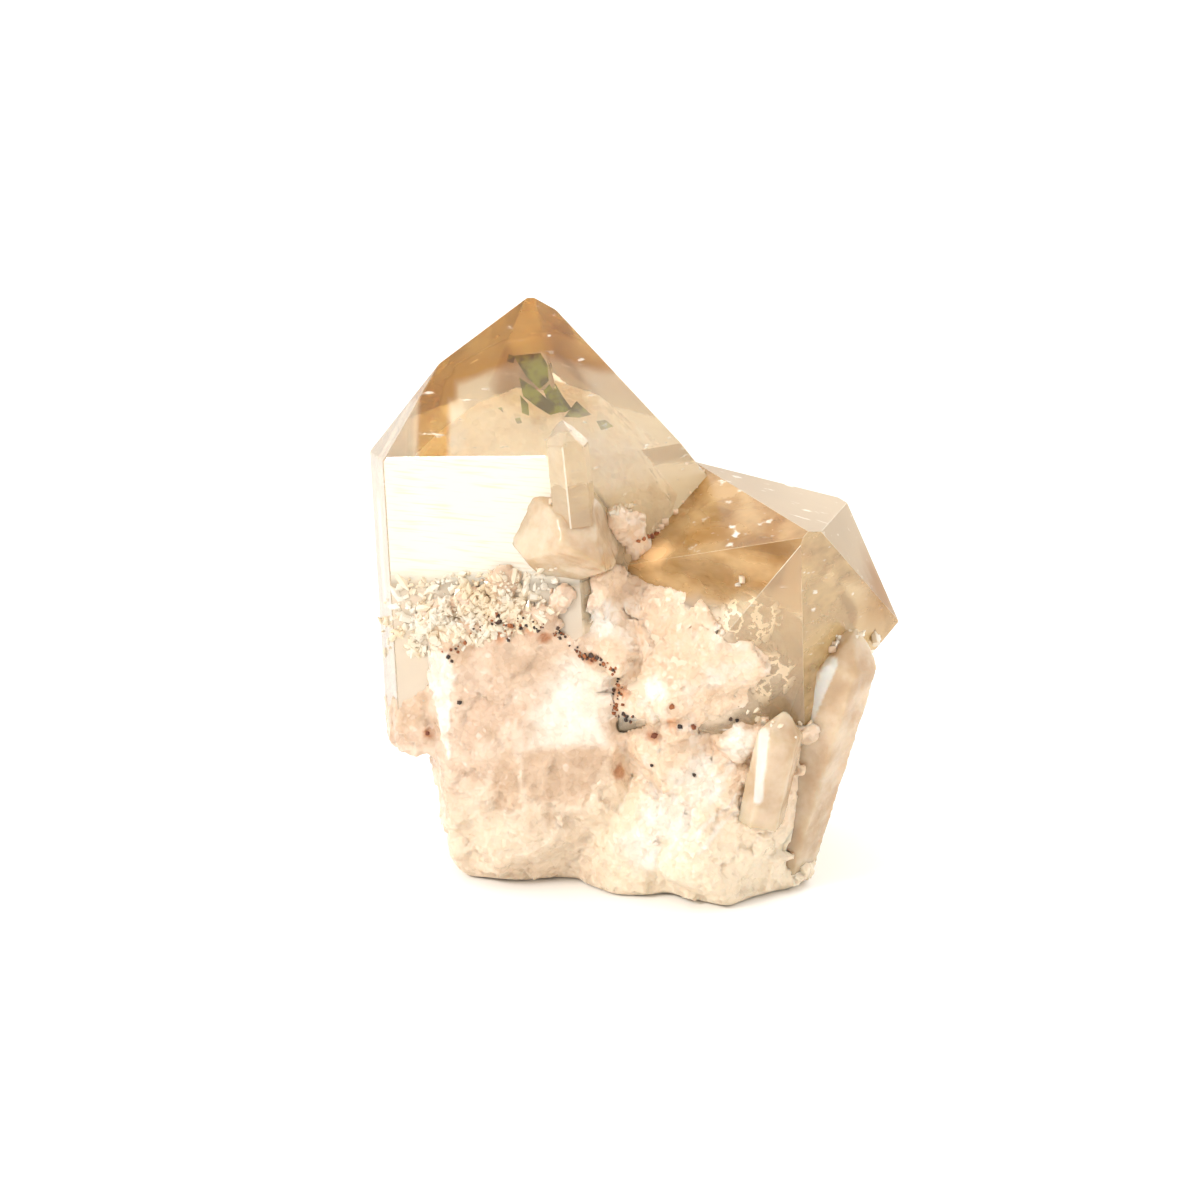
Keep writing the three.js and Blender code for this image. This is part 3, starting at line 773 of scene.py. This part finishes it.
# The flakes: thin blades of olive-green mineral caught a millimetre or two beneath the front face of
# the upright crystal's point as it grew over them.
# The outline of each flake in the picture.
FLAKES = [
    [(512, 353), (539, 350), (546, 362), (547, 378), (538, 386), (525, 374)],
    [(517, 374), (530, 382), (551, 400), (560, 408), (548, 411), (532, 401), (521, 392)],
    [(547, 380), (556, 392), (565, 404), (557, 408), (545, 396), (541, 386)],
    [(560, 414), (572, 398), (586, 411), (574, 414)],
    [(518, 391), (526, 400), (527, 412), (520, 409)],
    [(589, 416), (598, 415), (606, 421), (594, 425)],
    [(496, 405), (500, 404), (502, 410)],
    [(513, 415), (518, 414), (520, 419), (515, 420)],
    [(506, 350), (513, 352), (511, 359), (505, 357)],
]
FLAKE_THICKNESS = 0.12 * MM
glass_tree = tree_of([clear])
tip_normal = upright_faces[1][1]
flake_bm = bmesh.new()
for index, outline in enumerate(FLAKES):
    deep = (1.0 + 0.25 * (index % 3)) * MM
    corners = []
    for across, down in outline:
        point, _ = seen_at(glass_tree, across, down)
        wavy_depth = deep + 0.3 * MM * noise.noise(point / (3 * MM))
        corners.append(flake_bm.verts.new(point - tip_normal * wavy_depth))
    made = bmesh.ops.contextual_create(flake_bm, geom=corners)["faces"]
    grown = bmesh.ops.extrude_face_region(flake_bm, geom=made)
    for v in (g for g in grown["geom"] if isinstance(g, bmesh.types.BMVert)):
        v.co -= tip_normal * FLAKE_THICKNESS
bmesh.ops.recalc_face_normals(flake_bm, faces=flake_bm.faces)
flakes = new_piece("olive_flakes", flake_bm)

# A mossy green mineral with a soft sheen.
olive, tree, place = new_material("olive_mineral_flakes")
mossy = add(tree, "ShaderNodeTexNoise", {"Vector": place, "Scale": 1 / (1.43 * MM), "Detail": 4})
sheen = add(tree, "ShaderNodeBsdfPrincipled", {
    "Base Color": two_toned(tree, mossy, 0.4, 0.6, "#63560c", "#8f9224"), "Roughness": 0.35})
add(tree, "ShaderNodeOutputMaterial", {"Surface": sheen})
flakes.data.materials.append(olive)
finished(flakes)

# The studio: a white paper table, a bright plain surround, and two soft lamps. The surround is brighter
# than white, so that the clear quartz in front of it looks lit from within.
floor_bm = bmesh.new()
bmesh.ops.create_grid(floor_bm, x_segments=1, y_segments=1, size=3)
table_top = new_piece("table_top", floor_bm)
table_top.location.z = -0.1 * MM
paper, tree, _ = new_material("white_paper")
matt = add(tree, "ShaderNodeBsdfPrincipled", {"Base Color": colour("#fbfaf8"), "Roughness": 0.9})
add(tree, "ShaderNodeOutputMaterial", {"Surface": matt})
table_top.data.materials.append(paper)

world = bpy.data.worlds.new("studio")
bpy.context.scene.world = world
world.use_nodes = True
sky = world.node_tree
sky.nodes.clear()
way = add(sky, "ShaderNodeSeparateXYZ", {0: add(sky, "ShaderNodeTexCoord").outputs["Generated"]}).outputs["Y"]
surround = add(sky, "ShaderNodeBackground", {
    "Color": two_toned(sky, way, -0.7, 0.1, "#d2cec8", "#ffffff"), "Strength": 1.4})
add(sky, "ShaderNodeOutputWorld", {"Surface": surround})


def soft_lamp(name, at, size, watts):
    data = bpy.data.lights.new(name, "AREA")
    data.shape = "SQUARE"
    data.size = size
    data.energy = watts
    lamp = bpy.data.objects.new(name, data)
    lamp.location = at
    lamp.rotation_euler = (Vector((0, 0, 0.02)) - Vector(at)).to_track_quat("-Z", "Y").to_euler()
    bpy.context.scene.collection.objects.link(lamp)


soft_lamp("key_lamp", (-0.35, -0.3, 0.35), 0.12, 1.5)
soft_lamp("back_lamp", (0.3, 0.45, 0.4), 0.3, 1.0)

bpy.context.scene.view_settings.view_transform = "Standard"
